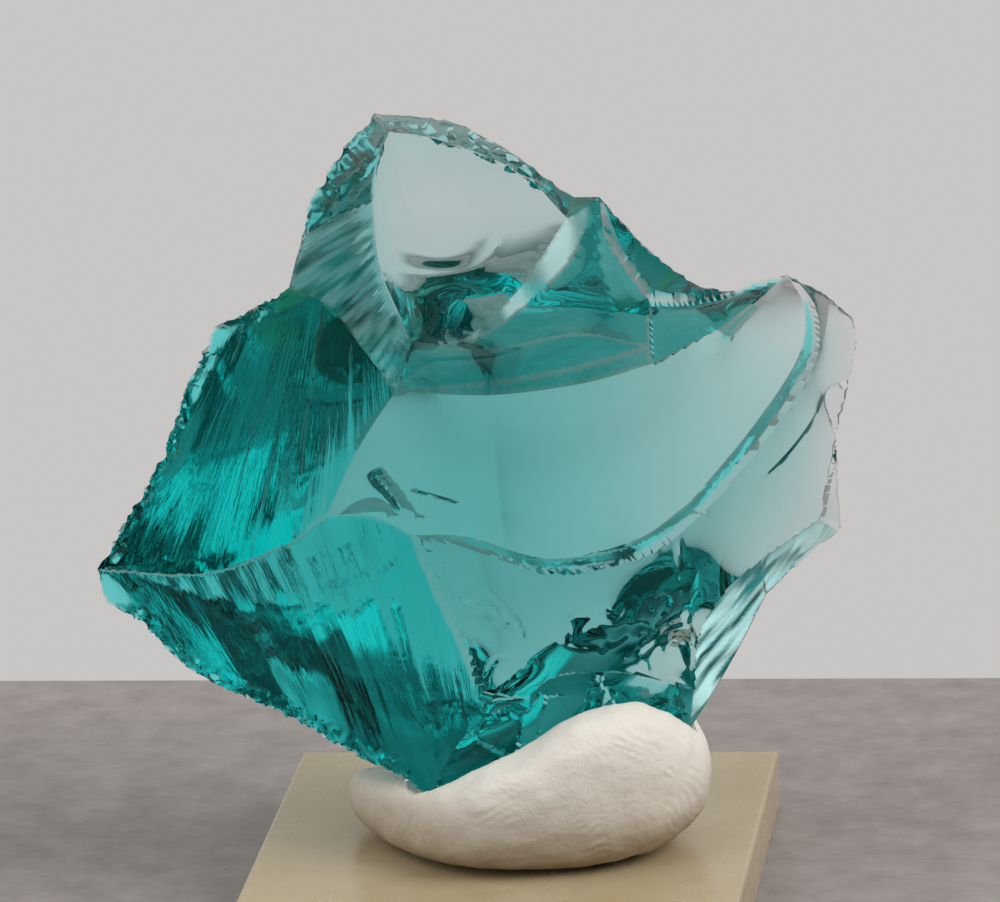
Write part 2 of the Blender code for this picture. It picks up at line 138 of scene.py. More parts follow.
# Places that a curved ridge passes between its two corners.  A ridge that isn't here is straight.
BENDS = {
    # The outline.
    ("peak", "notch"): [(-2.4, 3.9, 16.9), (0.8, 4.0, 15.2)],
    ("shoulder", "saddle"): [(7.7, 3.1, 10.3), (10.2, 3.4, 8.4)],
    ("saddle", "crest"): [(13.2, 3.2, 8.7)],
    ("crest", "corner"): [(16.6, 3.2, 8.1)],
    ("corner", "chip_top"): [(18.3, 3.8, 5.4)],
    ("chip_top", "nick"): [(17.7, 4.0, 2.4)],
    ("nick", "chip_low"): [(17.3, 3.9, -1.8)],
    ("chip_low", "bevel_top"): [(15.9, 3.4, -5.4)],
    ("bevel_top", "heel"): [(12.4, 1.0, -9.6), (10.9, 0.4, -12.2)],
    ("heel", "toe"): [(6.5, 0.8, -16.4), (1.5, -0.6, -17.8)],
    ("toe", "tip"): [(-7.3, -0.4, -15.5), (-11.2, 0.5, -13.4), (-16.1, 1.1, -11.0), (-18.6, 1.4, -8.6),
                     (-20.1, 1.4, -7.7)],
    ("tip", "elbow"): [(-19.4, 1.6, -3.9), (-17.3, 1.8, -0.2), (-16.1, 1.8, 3.2)],
    ("elbow", "collar"): [(-12.8, 1.1, 7.2)],
    ("cheek", "peak"): [(-9.8, 1.9, 12.7), (-8.2, 2.6, 15.3)],
    # The two streaked faces on the left.
    ("tip", "knuckle"): [(-15.2, -1.6, -6.2), (-11.2, -4.7, -4.9)],
    ("knuckle", "window_left"): [(-7.0, -6.5, 0.2)],
    ("window_left", "collar"): [(-6.8, -3.6, 5.0), (-8.6, -1.4, 7.2)],
    ("lip", "toe"): [(-2.2, -2.7, -14.9)],
    ("rib_left", "lip_up"): [(-3.4, -5.8, -6.8), (-2.0, -4.9, -9.8)],
    ("knuckle", "rib_left"): [(-6.5, -6.9, -3.2)],
    # The large window and the curved step across it.
    ("rib_left", "rib_in"): [(-1.6, -5.4, -4.3), (2.5, -4.4, -5.4), (6.8, -3.1, -4.5)],
    ("rib_left", "rib_out"): [(-1.6, -6.0, -4.7), (2.5, -5.2, -6.0), (7.1, -3.9, -5.1)],
    ("rib_in", "crest"): [(12.8, -0.8, 1.2), (15.2, 1.1, 4.8), (15.5, 2.1, 7.4)],
    ("rib_out", "crest"): [(13.4, -1.7, 1.0), (15.8, 0.2, 4.8), (15.8, 1.7, 7.4)],
    ("brow", "window_left"): [(4.2, -3.5, 3.4), (-0.5, -4.7, 2.8)],
    # The shoulder and the top lobe.
    ("rim_left", "lens_tip"): [(-0.5, -2.3, 5.1), (4.0, -1.6, 5.9)],
    ("lens_tip", "window_left"): [(4.2, -2.8, 4.3), (0.0, -4.1, 3.5)],
    ("spur", "shoulder"): [(5.5, 2.0, 10.9)],
    ("spur", "saddle"): [(9.7, 1.9, 7.7)],
    ("rim_left", "shoulder"): [(-1.4, -1.5, 5.6), (2.4, 0.2, 8.4), (4.4, 1.8, 11.2)],
    ("rim_left", "rim_top"): [(-1.6, -1.2, 5.9), (1.0, 0.4, 8.4)],
    ("bevel_left", "rim_top"): [(-3.0, 0.4, 15.8), (1.0, 1.0, 14.2)],
    ("bevel_left", "fan_top"): [(-6.2, -1.2, 14.6)],
    ("fan_top", "rim_left"): [(-6.0, -2.5, 9.2)],
    ("cheek", "fan_top"): [(-8.2, -0.2, 12.0)],
    # The underside and the bright bevels on the right.
    ("lip_right", "low_right"): [(2.7, -3.5, -11.4), (6.2, -2.7, -11.2)],
    ("low_right", "bevel_in"): [(10.0, -1.3, -9.4), (11.2, -0.8, -7.3)],
    ("chip_in", "nick"): [(16.7, 3.0, -1.6)],
    # The back.
    ("back_top_left", "back_top_right"): [(1.5, 8.4, 5.6)],
    ("back_top_left", "back_knee"): [(-2.8, 11.5, 2.2), (-2.9, 12.6, -1.6)],
    ("back_knee", "back_low"): [(-2.6, 10.4, -9.2)],
    ("back_low", "back_heel"): [(-0.4, 8.8, -10.8), (1.4, 9.0, -9.0), (4.6, 8.0, -7.8)],
    ("back_heel", "heel"): [(8.6, 3.8, -10.0)],
    ("tip", "back_knee"): [(-12.5, 7.0, -6.2), (-7.5, 10.6, -5.2)],
}

# Each break face: its ring of corners, then how deep it is hollowed (or, below zero, swollen) in mm.
FACES = {
    "left_high": (("collar", "elbow", "tip", "knuckle", "window_left"), 0.1),
    "left_low": (("tip", "toe", "lip", "lip_up", "rib_left", "knuckle"), 0.3),
    "window": (("window_left", "knuckle", "rib_left", "rib_in", "crest", "tooth", "tooth_top", "brow"), 0.6),
    "step": (("rib_left", "rib_out", "crest", "rib_in"), 0.0),
    "skirt": (("rib_left", "lip_up", "lip_right", "low_right", "bevel_in", "chip_in", "nick", "chip_inner",
               "chip_top", "corner", "crest", "rib_out"), 0.1),
    "chip": (("chip_top", "chip_inner", "nick"), 0.1),
    "belly": (("lip", "toe", "heel", "low_right", "lip_right"), -0.5),
    "lip_chip": (("lip", "lip_right", "lip_up"), 0.2),
    "lower_bevel": (("low_right", "heel", "bevel_top", "bevel_in"), 0.1),
    "right_bevel": (("bevel_in", "bevel_top", "chip_low", "chip_in"), 0.1),
    "right_edge": (("chip_in", "chip_low", "nick"), 0.0),
    "tooth_flat": (("crest", "tooth_top", "tooth"), 0.0),
    "shelf": (("spur", "saddle", "crest", "tooth_top", "brow", "lens_tip"), 0.3),
    "lens": (("rim_left", "lens_tip", "window_left"), 0.25),
    "strip": (("lens_tip", "brow", "window_left"), 0.0),
    "slope_low": (("rim_left", "lens_tip", "spur", "shoulder"), 0.3),
    "slope_high": (("spur", "saddle", "shoulder"), 0.15),
    "crescent": (("rim_left", "shoulder", "rim_top"), 0.0),
    "ear": (("rim_top", "shoulder", "notch"), 0.0),
    "bowl": (("fan_top", "rim_left", "rim_top", "bevel_left"), 3.2),
    "top_bevel": (("bevel_left", "rim_top", "notch", "peak"), 0.1),
    "left_margin": (("peak", "cheek", "fan_top", "bevel_left"), 0.1),
    "fan": (("cheek", "collar", "window_left", "rim_left", "fan_top"), 0.2),
    "back_lobe": (("peak", "notch", "shoulder", "back_top_right", "back_top_left", "collar", "cheek"), -0.7),
    "back_slope": (("shoulder", "saddle", "back_saddle", "back_top_right"), 0.0),
    "back_left": (("collar", "back_top_left", "back_knee", "tip", "elbow"), -0.7),
    "back_foot": (("tip", "back_knee", "back_low", "toe"), -0.3),
    "back_floor": (("toe", "back_low", "back_heel", "heel"), -0.2),
    "back_main": (("back_top_left", "back_top_right", "back_saddle", "saddle", "crest", "corner", "chip_top",
                   "nick", "chip_low", "bevel_top", "heel", "back_heel", "back_low", "back_knee"), -0.6),
}


# ------------------------------------------------------------------------------- fineness of the lump

# Millimetres between the points of a ridge, and over each kind of face.
RIDGE_STEP = 0.17
FINE_STEP = 0.17
SMOOTH_STEP = 0.3
BACK_STEP = 0.24
BEVEL_STEP = 0.11
FINE_FACES = ("left_high", "left_low", "left_margin", "fan", "bowl", "crescent", "step", "belly", "lip_chip",
              "lens", "top_bevel", "ear", "window", "skirt", "shelf", "slope_low", "back_left")
BEVEL_FACES = ("lower_bevel", "right_bevel", "right_edge")
BACK_FACES = ("back_lobe", "back_slope", "back_foot", "back_main")

# The share of a step that a face's inner points keep clear of its rim, the distance (mm) and the area (mm2)
# that count as nothing, and how often a triangle that lies along one ridge is split at most.
RIM_CLEARANCE = 0.55
FLAT_TOLERANCE = 1e-5
ON_RIDGE_PASSES = 3

# How many steps a skin is given to settle at most, and how weak its pull is once it lies still.
SETTLE_STEPS = 900
SETTLE_TOLERANCE = 1e-9

# Ridges with small bites out of them: the widest bite and the deepest, in mm.
CHIPPED = {
    ("tip", "elbow"): (1.3, 0.30),
    ("elbow", "collar"): (1.0, 0.25),
    ("cheek", "peak"): (1.2, 0.35),
    ("toe", "tip"): (1.1, 0.28),
    ("peak", "notch"): (1.5, 0.16),
    ("shoulder", "saddle"): (0.9, 0.14),
    ("crest", "corner"): (0.8, 0.12),
    ("corner", "chip_top"): (0.8, 0.16),
    ("chip_top", "nick"): (0.7, 0.20),
    ("nick", "chip_low"): (0.8, 0.20),
    ("chip_low", "bevel_top"): (1.0, 0.16),
    ("rim_left", "shoulder"): (0.8, 0.10),
    ("rim_left", "rim_top"): (0.7, 0.10),
    ("tip", "knuckle"): (0.9, 0.10),
    ("rib_left", "rib_out"): (0.9, 0.16),
}
CHIP_SEED = 7

# The narrowest bite and the shallowest, as shares of the widest and the deepest, how far from a corner
# (mm) the bites have their full depth, and the middle of the lump, which they are taken towards.
CHIP_NARROWEST = 0.25
CHIP_SHALLOWEST = 0.15
CHIP_FADE = 1.0
LUMP_MIDDLE = Vector((-1.0, 0, 0.5))


# ------------------------------------------------------------------------------- the skin of a face

def smooth_curve(points, step):
    """Points about a step apart along a Catmull-Rom curve through the given points, ends included."""
    padded = [2 * points[0] - points[1], *points, 2 * points[-1] - points[-2]]
    curve = [points[0]]
    for before, start, end, after in zip(padded, padded[1:], padded[2:], padded[3:]):
        steps = max(1, round((end - start).length / step))
        for index in range(1, steps + 1):
            t = index / steps
            bend = (2 * before - 5 * start + 4 * end - after) * t * t
            twist = (3 * start - before - 3 * end + after) * t * t * t
            curve.append((2 * start + (end - before) * t + bend + twist) / 2)
    return [*curve[:-1], points[-1]]


def chip_bites(curve, widest, deepest, luck):
    """Bite scallops out of a ridge, towards the middle of the lump, as small flakes leave it.

    A scallop is a parabola, deepest half way along.
    """
    along = 0.0
    lengths = [0.0]
    for here, there in zip(curve, curve[1:]):
        along += (there - here).length
        lengths.append(along)
    cuts = [0.0]
    while cuts[-1] < along:
        cuts.append(cuts[-1] + widest * luck.uniform(CHIP_NARROWEST, 1.0))
    depths = [deepest * luck.uniform(CHIP_SHALLOWEST, 1.0) for _ in cuts]
    bitten = []
    for index, (spot, place) in enumerate(zip(curve, lengths)):
        bite = max(i for i, cut in enumerate(cuts) if cut <= place)
        t = (place - cuts[bite]) / (cuts[min(bite + 1, len(cuts) - 1)] - cuts[bite] or 1.0)
        depth = depths[bite] * 4 * t * (1 - t) * min(1.0, place / CHIP_FADE, (along - place) / CHIP_FADE)
        tangent = curve[min(index + 1, len(curve) - 1)] - curve[max(index - 1, 0)]
        sideways = Vector((tangent.z, 0, -tangent.x)).normalized()
        if sideways.dot(LUMP_MIDDLE - spot) < 0:
            sideways = -sideways
        bitten.append(spot + sideways * depth)
    return bitten


def all_ridges():
    """Every ridge between two corners, by the names of its corners."""
    luck = random.Random(CHIP_SEED)
    ridges = {}
    for corners, _ in FACES.values():
        for first, last in zip(corners, corners[1:] + corners[:1]):
            if (first, last) in ridges or (last, first) in ridges:
                continue
            if (last, first) in BENDS:
                first, last = last, first
            places = [CORNERS[first], *BENDS.get((first, last), []), CORNERS[last]]
            curve = smooth_curve([Vector(place) for place in places], RIDGE_STEP)
            if (first, last) in CHIPPED:
                curve = chip_bites(curve, *CHIPPED[first, last], luck)
            ridges[first, last] = curve
    return ridges


def face_ring(corners, ridges):
    """The closed ring of points around a face, and where in it each ridge starts and ends."""
    ring, ends = [], [0]
    for first, last in zip(corners, corners[1:] + corners[:1]):
        curve = ridges[first, last] if (first, last) in ridges else ridges[last, first][::-1]
        ring += curve[:-1]
        ends.append(len(ring))
    return ring, ends


def ring_plane(ring):
    """Centre and axes, as rows, of the plane that fits a ring best; the last axis points outwards."""
    centre = sum(ring, Vector()) / len(ring)
    normal = Vector()
    for here, there in zip(ring, ring[1:] + ring[:1]):
        normal += (here - centre).cross(there - centre)
    normal.normalize()
    across = normal.orthogonal().normalized()
    return np.array(centre), np.array([across, normal.cross(across), normal])


def depth_inside(spots, outline):
    """How far each flat spot is from an outline: above zero inside it, below zero outside."""
    nearest = np.full(len(spots), np.inf)
    hit = np.zeros(len(spots), bool)
    for a, b in zip(outline, np.roll(outline, -1, axis=0)):
        edge = b - a
        t = np.clip(((spots - a) @ edge) / (edge @ edge), 0, 1)
        nearest = np.minimum(nearest, np.linalg.norm(a + t[:, None] * edge - spots, axis=1))
        if a[1] != b[1]:
            crosses = (a[1] > spots[:, 1]) != (b[1] > spots[:, 1])
            hit ^= crosses & (spots[:, 0] < (b[0] - a[0]) * (spots[:, 1] - a[1]) / (b[1] - a[1]) + a[0])
    return np.where(hit, nearest, -nearest)


def honeycomb(outline, step):
    """A honeycomb of spots inside an outline, clear of its edge."""
    low, high = outline.min(axis=0), outline.max(axis=0)
    rows = np.arange(low[1] + step / 2, high[1], step * 3 ** 0.5 / 2)
    columns = np.arange(low[0], high[0] + step, step)
    grid = np.array([(x + step / 2 * (index % 2), y) for index, y in enumerate(rows) for x in columns])
    return grid[depth_inside(grid, outline) > step * RIM_CLEARANCE]


def triangulate(flat, rim):
    """Triangles between flat spots, kept to the inside of the ring that the first of them form."""
    made = delaunay_2d_cdt([Vector(spot) for spot in flat], [], [list(range(rim))], 1, FLAT_TOLERANCE, True)
    triangles = np.array([[made[3][corner][0] for corner in triangle] for triangle in made[2]])
    a, b, c = flat[triangles[:, 0]], flat[triangles[:, 1]], flat[triangles[:, 2]]
    area = abs((b - a)[:, 0] * (c - a)[:, 1] - (b - a)[:, 1] * (c - a)[:, 0]) / 2
    return triangles[(area > FLAT_TOLERANCE) & (depth_inside((a + b + c) / 3, flat[:rim]) > 0)]


def on_one_ridge(triangles, ends):
    """Whether a triangle has all three corners on one ridge, where the face beyond could have it too."""
    rim = ends[-1]
    found = np.zeros(len(triangles), bool)
    for start, end in zip(ends, ends[1:]):
        on = (triangles >= start) & (triangles <= end) | (triangles == 0) & (end == rim)
        found |= on.all(axis=1)
    return found


def stretch(rim_heights, count, triangles):
    """Heights of a skin stretched over its rim, and of a bubble of height 1 that stands on that rim."""
    rim = len(rim_heights)
    sides = np.vstack([triangles[:, [0, 1]], triangles[:, [1, 2]], triangles[:, [2, 0]]])
    a, b = np.unique(np.sort(sides, axis=1), axis=0).T
    degree = np.bincount(a, minlength=count) + np.bincount(b, minlength=count)

    def pull(values):
        """How strongly its neighbours pull each point."""
        return degree * values - np.bincount(a, values[b], count) - np.bincount(b, values[a], count)

    def settle(start, load):
        """Heights at which the pull equals the load, found by conjugate gradients with the rim held."""
        values = start.copy()
        rest = load - pull(values)
        rest[:rim] = 0
        heading = rest / degree
        strength = rest @ heading
        for _ in range(SETTLE_STEPS):
            if strength < SETTLE_TOLERANCE:
                break
            pulled = pull(heading)
            pulled[:rim] = 0
            share = strength / (heading @ pulled)
            values += share * heading
            rest -= share * pulled
            eased = rest / degree
            new_strength = rest @ eased
            heading = eased + heading * new_strength / strength
            strength = new_strength
        return values

    start = np.full(count, np.mean(rim_heights))
    start[:rim] = rim_heights
    skin = settle(start, np.zeros(count))
    load = np.ones(count)
    load[:rim] = 0
    bubble = settle(np.zeros(count), load)
    return skin, bubble / (bubble.max() or 1.0)


def face_skin(name, corners, hollow, ridges):
    """One break face: its places in the lump's frame (mm), its triangles and how many places its rim has."""
    ring, ends = face_ring(corners, ridges)
    centre, axes = ring_plane(ring)
    rim = len(ring)
    local = (np.array(ring) - centre) @ axes.T
    kinds = ((FINE_FACES, FINE_STEP), (BEVEL_FACES, BEVEL_STEP), (BACK_FACES, BACK_STEP))
    step = next((size for names, size in kinds if name in names), SMOOTH_STEP)
    flat = np.vstack([local[:, :2], honeycomb(local[:, :2], step).reshape(-1, 2)])
    triangles = triangulate(flat, rim)
    for _ in range(ON_RIDGE_PASSES):
        shared = on_one_ridge(triangles, ends)
        if not shared.any():
            break
        flat = np.vstack([flat, flat[triangles[shared]].mean(axis=1)])
        triangles = triangulate(flat, rim)
    skin, bubble = stretch(local[:, 2], len(flat), triangles)
    edge_depth = depth_inside(flat, local[:, :2])
    edge_depth[:rim] = 0
    height = skin - hollow * bubble
    places = centre + flat @ axes[:2] + height[:, None] * axes[2]
    places[:rim] = np.array(ring)
    raised = relief(name, places[rim:], flat[rim:], edge_depth[rim:], ridges)
    places[rim:] += raised[:, None] * axes[2]
    return places, triangles, rim


# ----------------------------------------------------------------------------- relief of the faces

# The noise that rays are made of mostly stays within a half, up or down, and this brings it to its size.
NOISE_GAIN = 2

# How far inside its ridges (mm) the relief of a face reaches its full height.
RELIEF_FADE = 0.5

# Rays: fine ridges that spread from the place where a break began.  Where they start (x, z), how many to
# a radian, how far one runs (mm), how high they are (mm), and a seed.
RAYS = {
    "left_high": [((-7.5, 19.0), 30, 9.0, 0.045, 1.0), ((-7.5, 19.0), 75, 5.0, 0.014, 2.0)],
    "left_low": [((3.0, -38.0), 34, 9.0, 0.085, 3.0), ((3.0, -38.0), 80, 5.0, 0.030, 4.0)],
    "left_margin": [((-2.0, 10.0), 16, 2.0, 0.10, 5.0)],
    "fan": [((1.0, 16.0), 30, 3.0, 0.05, 7.0), ((1.0, 16.0), 70, 1.5, 0.02, 8.0)],
    "right_bevel": [((137.0, 150.0), 420, 2.5, 0.20, 9.0), ((137.0, 150.0), 900, 1.2, 0.06, 13.0)],
    "lower_bevel": [((137.0, 150.0), 420, 2.5, 0.20, 10.0), ((137.0, 150.0), 900, 1.2, 0.06, 14.0)],
    "step": [((2.8, 5.7), 1.5, 0.20, 0.09, 11.0)],
    "shelf": [((4.0, 26.0), 18, 5.0, 0.05, 15.0)],
    "slope_low": [((6.0, 20.0), 7, 5.0, 0.06, 16.0)],
}

# Flakes: small tilted facets where splinters have left a face.  How wide one is (mm), how steep, the
# ridges they lie along (or none, for the whole face), how far they reach from those (mm), and a seed.
FLAKES = {
    "left_margin": (1.6, 0.10, None, 0.0, 11),
    "left_high": (0.7, 0.20, (("tip", "elbow"), ("elbow", "collar")), 0.9, 12),
    "left_low": (0.8, 0.30, (("toe", "tip"),), 0.9, 13),
    "top_bevel": (0.8, 0.22, None, 0.0, 14),
    "back_left": (1.3, 0.12, (("tip", "elbow"), ("elbow", "collar")), 1.2, 15),
    "belly": (1.6, 0.10, None, 0.0, 19),
}

# Lines: low ridges (or, below zero, grooves) left by the crack's waves.  Each has its width and height
# (mm), how ragged it is (mm), and the places (x, z) that it passes.
LINES = {
    "back_left": [
        (0.17, 0.22, 0.06, [(-3.1, -4.6), (-4.1, -4.1), (-5.1, -3.7), (-6.6, -3.3)]),
        (0.30, 0.40, 0.05, [(-8.4, -1.6), (-7.9, -2.6), (-7.4, -3.6), (-7.1, -4.6), (-6.9, -5.6)]),
    ],
    "back_main": [
        (0.50, 0.020, 0.0, [(10.2, 4.8), (8.3, 2.4), (4.5, 0.1), (1.8, 0.0), (-1.0, 0.3)]),
    ],
    "step": [
        (0.12, 0.09, 0.06, [(-3.0, -4.4), (2.5, -5.7), (7.0, -4.8), (9.8, -2.8), (13.1, 1.1), (15.5, 4.8),
                            (15.65, 7.4)]),
    ],
    "skirt": [
        (0.13, 0.09, 0.12, [(-3.65, -5.3), (-2.55, -5.9), (-1.55, -6.8), (-0.3, -7.65), (0.7, -8.65),
                            (1.2, -10.25)]),
        (0.12, 0.08, 0.12, [(-3.05, -5.65), (-2.55, -7.15), (-2.05, -8.05), (-1.05, -8.15), (-0.05, -8.65),
                            (0.8, -9.4)]),
        (0.08, 0.05, 0.04, [(1.2, -10.75), (0.7, -10.5), (0.2, -10.25), (-0.4, -10.4), (-0.8, -11.0),
                            (-1.1, -11.7)]),
        (0.10, 0.07, 0.08, [(8.9, -4.2), (8.8, -5.5), (9.0, -6.9)]),
    ],
    "bowl": [
        (0.16, 0.16, 0.05, [(-2.5, 14.0), (-0.5, 14.6), (2.2, 14.4)]),
        (0.14, 0.15, 0.04, [(-2.6, 13.5), (0.0, 13.9), (2.6, 13.9)]),
        (0.14, 0.14, 0.05, [(-2.5, 13.0), (-0.3, 13.3), (2.4, 13.4)]),
        (0.13, 0.12, 0.04, [(-2.3, 12.5), (0.0, 12.8), (2.0, 13.0)]),
        (0.35, 0.12, 0.05, [(-5.15, 9.6), (-3.8, 9.3), (-2.55, 9.4), (-1.05, 10.15), (0.0, 11.5),
                            (0.55, 12.4)]),
        (0.15, -0.07, 0.03, [(-5.55, 9.2), (-3.7, 9.0), (-1.6, 9.2), (-0.4, 10.05), (1.05, 12.4)]),
        (0.50, -0.16, 0.05, [(-6.0, 11.2), (-4.6, 10.3), (-2.3, 9.8), (-1.3, 10.6)]),
    ],
}

# Waves: places where the crack stepped outwards at once and then came back slowly, to the left of a path.
# Each has the width of the step and its height (mm), how ragged it is (mm), and its path's places (x, z).
WAVES = {
    "back_main": [
        (0.20, 0.24, 0.05, [(11.1, -0.9), (12.3, -0.1), (13.4, 0.9), (14.5, 2.1), (15.3, 3.2)]),
    ],
}

# The noise that bends lines, waves and swirls starts from this seed.  Without one it differs in each run.
BEND_SEED = 7

# Millimetres between the points along the path of a line or a wave, and how wide its ragged bends are.
PATH_STEP = 0.1
RAGGED_WIDTH = 0.5

# A line rises to its full height over the first sixth of its length, and a wave over the first third, and
# both sink the same way at their other end.  A wave comes back over about four of its widths.
LINE_TAPER = 6
WAVE_TAPER = 3
WAVE_RETURN = 4

# Rough patches where the crack tore: the outline (x, z), how wide a swirl is (mm), how high, and a seed.
PATCHES = {
    "skirt": [
        ([(-3.4, -5.4), (-1.6, -6.8), (-0.3, -7.6), (0.8, -9.0), (-0.1, -8.6), (-1.1, -8.1), (-2.1, -8.0),
          (-2.6, -7.1)], 0.6, 0.10, 21),
        ([(2.3, -8.35), (4.0, -7.85), (5.8, -7.6), (6.45, -7.1), (9.1, -6.7), (9.5, -8.2), (9.8, -10.0),
          (9.6, -12.2), (6.2, -11.4), (5.8, -10.5), (3.2, -9.8), (2.4, -9.4)], 1.0, 0.10, 22),
    ],
}

# How far a swirl is bent, in widths of a swirl, how many bends there are to one, how steep its sides are,
# and how far inside its outline (mm) a patch has its full height.
SWIRL_BEND = 0.8
SWIRL_BENDS = 0.6
SWIRL_STEEPNESS = 3
PATCH_FADE = 0.25

# How frosted a face is: the roughness of its finest surface, too fine to model.
FROST = {"fan": 0.32, "left_margin": 0.04, "crescent": 0.30, "right_bevel": 0.40, "lower_bevel": 0.40}

# How much of a face is crushed white by fine cracks under its streaks.
CRUSH = {"right_bevel": 0.85, "lower_bevel": 0.85, "crescent": 0.40, "step": 0.12, "fan": 0.14}

# The streaks of such a face: how wide and how long they are, in steps of its grain (or in mm, where it has
# none), the plane of the noise that they are read in, and their mean strength and how much it varies.
CRUSH_WIDTH = 1.4
CRUSH_LENGTH = 2
CRUSH_PLANE = 3.0
CRUSH_MIDDLE = 0.6
CRUSH_CONTRAST = 2.4

# Painted shade in the glass's colour: what share of red light comes through a face, lowered on each face
# here where it looks deeper teal, most on the left faces, the shelf and the slopes.  A face that isn't here
# lets all of it through.
PAINTED_SHADE_TINT = {"shelf": 0.06, "slope_low": 0.06, "slope_high": 0.10, "lens": 0.05, "strip": 0.08,
        "left_margin": 0.12, "left_high": 0.04, "left_low": 0.05, "fan": 0.5, "top_bevel": 0.4,
        "belly": 0.4, "step": 0.15, "tooth_flat": 0.1, "right_bevel": 0.6, "lower_bevel": 0.6,
        "crescent": 0.7}

# Blunt edges: the ridges that a face meets with a small steep round instead of a feather edge, how high
# that is and how wide (mm).
BLUNT = {
    "skirt": ((("crest", "corner"), ("corner", "chip_top"), ("chip_top", "chip_inner"),
               ("chip_inner", "nick"), ("chip_in", "nick")), 0.40, 0.34),
    "chip": ((("chip_top", "nick"),), 0.30, 0.30),
    "shelf": ((("saddle", "crest"),), 0.30, 0.34),
    "slope_high": ((("shoulder", "saddle"),), 0.30, 0.34),
    "right_edge": ((("nick", "chip_low"),), 0.25, 0.30),
}

# How far (mm) such an edge wavers, and how wide one waver is.
BLUNT_WAVER = 0.2
BLUNT_WAVER_WIDTH = 0.7

# Grain: the finest streaks of a face, too fine to model.  Where they spread from (x, z), how many to a
# radian, how far one runs (mm), and how strong they are.
GRAIN = {
    "left_high": ((-7.5, 19.0), 95.0, 3.0, 1.0),
    "left_low": ((3.0, -38.0), 130.0, 3.5, 1.0),
    "fan": ((1.0, 16.0), 60.0, 1.0, 0.8),
    "left_margin": ((1.0, 16.0), 50.0, 1.0, 0.4),
    "right_bevel": ((137.0, 150.0), 900.0, 1.5, 0.8),
    "lower_bevel": ((137.0, 150.0), 900.0, 1.5, 0.8),
}


def around(middle, places):
    """The angle and distance of each place around a middle (x, z), as the viewer sees them."""
    across, up = places[:, 0] - middle[0], places[:, 2] - middle[1]
    return np.arctan2(up, across), np.hypot(across, up)


def ray_height(places, rows):
    """Height of the rays at each place."""
    height = np.zeros(len(places))
    for start, count, run, size, seed in rows:
        angle, radius = around(start, places)
        values = [noise.noise(Vector((a * count, r / run, seed))) for a, r in zip(angle, radius)]
        height += size * np.array(values) * NOISE_GAIN
    return height


def flake_height(flat, width, steepness, seed):
    """Height of a mosaic of tilted facets at flat spots."""
    luck = np.random.default_rng(seed)
    low, high = flat.min(axis=0), flat.max(axis=0)
    count = max(3, int(np.prod(high - low) / width ** 2))
    middles = luck.uniform(low, high, (count, 2))
    tilts = luck.normal(0.0, steepness, (count, 2))
    nearest = np.argmin(((flat[:, None] - middles[None]) ** 2).sum(axis=2), axis=1)
    return ((flat - middles[nearest]) * tilts[nearest]).sum(axis=1)


def distance_to(places, curves):
    """How far each place is from the nearest point of some ridges."""
    points = np.array([point for curve in curves for point in curve])
    return np.sqrt(((places[:, None] - points[None]) ** 2).sum(axis=2).min(axis=1))


def path_through(spots):
    """Points (x, z) along a smooth path through some spots."""
    return np.array(smooth_curve([Vector((x, 0, z)) for x, z in spots], PATH_STEP))[:, [0, 2]]


def ragged_places(places, ragged):
    """The places (x, z), each moved by up to about so many mm, which makes ragged what is drawn there."""
    wander = np.array([noise.noise_vector(Vector(place) / RAGGED_WIDTH) for place in places])[:, :2]
    return places[:, [0, 2]] + ragged * wander


def line_height(places, rows):
    """Height of the low ridges that curve across a face."""
    height = np.zeros(len(places))
    for width, size, ragged, spots in rows:
        path = path_through(spots)
        gaps = ((ragged_places(places, ragged)[:, None] - path[None]) ** 2).sum(axis=2)
        along = gaps.argmin(axis=1) / (len(path) - 1)
        taper = np.minimum(1, LINE_TAPER * np.minimum(along, 1 - along))
        height += size * np.exp(-gaps.min(axis=1) / width ** 2) * taper
    return height


def wave_height(places, rows):
    """Height of the waves: a step outwards at their path, and a slow return to the left of it."""
    height = np.zeros(len(places))
    for width, size, ragged, spots in rows:
        path = path_through(spots)
        offsets = ragged_places(places, ragged)[:, None] - path[None]
        nearest = (offsets ** 2).sum(axis=2).argmin(axis=1)
        heading = np.gradient(path, axis=0)[nearest]
        offset = offsets[np.arange(len(places)), nearest]
        side = heading[:, 0] * offset[:, 1] - heading[:, 1] * offset[:, 0]
        across = side / np.linalg.norm(heading, axis=1) / width
        along = nearest / (len(path) - 1)
        taper = np.minimum(1, WAVE_TAPER * np.minimum(along, 1 - along))
        fall = np.exp(-np.maximum(across - 0.5, 0) / WAVE_RETURN)
        height += size * np.clip(across + 0.5, 0, 1) * fall * taper
    return height


def patch_height(places, rows):
    """Height of the rough patches on a face: swirls that fade out at a patch's own edge."""
    height = np.zeros(len(places))
    for outline, width, size, seed in rows:
        depth = depth_inside(places[:, [0, 2]], np.array(outline))
        for index in np.flatnonzero(depth > 0):
            spot = Vector(places[index]) / width + Vector((seed, seed, seed))
            swirl = noise.noise(spot + SWIRL_BEND * noise.noise_vector(spot * SWIRL_BENDS))
            height[index] += size * (1 - SWIRL_STEEPNESS * abs(swirl)) * min(1.0, depth[index] / PATCH_FADE)
    return height


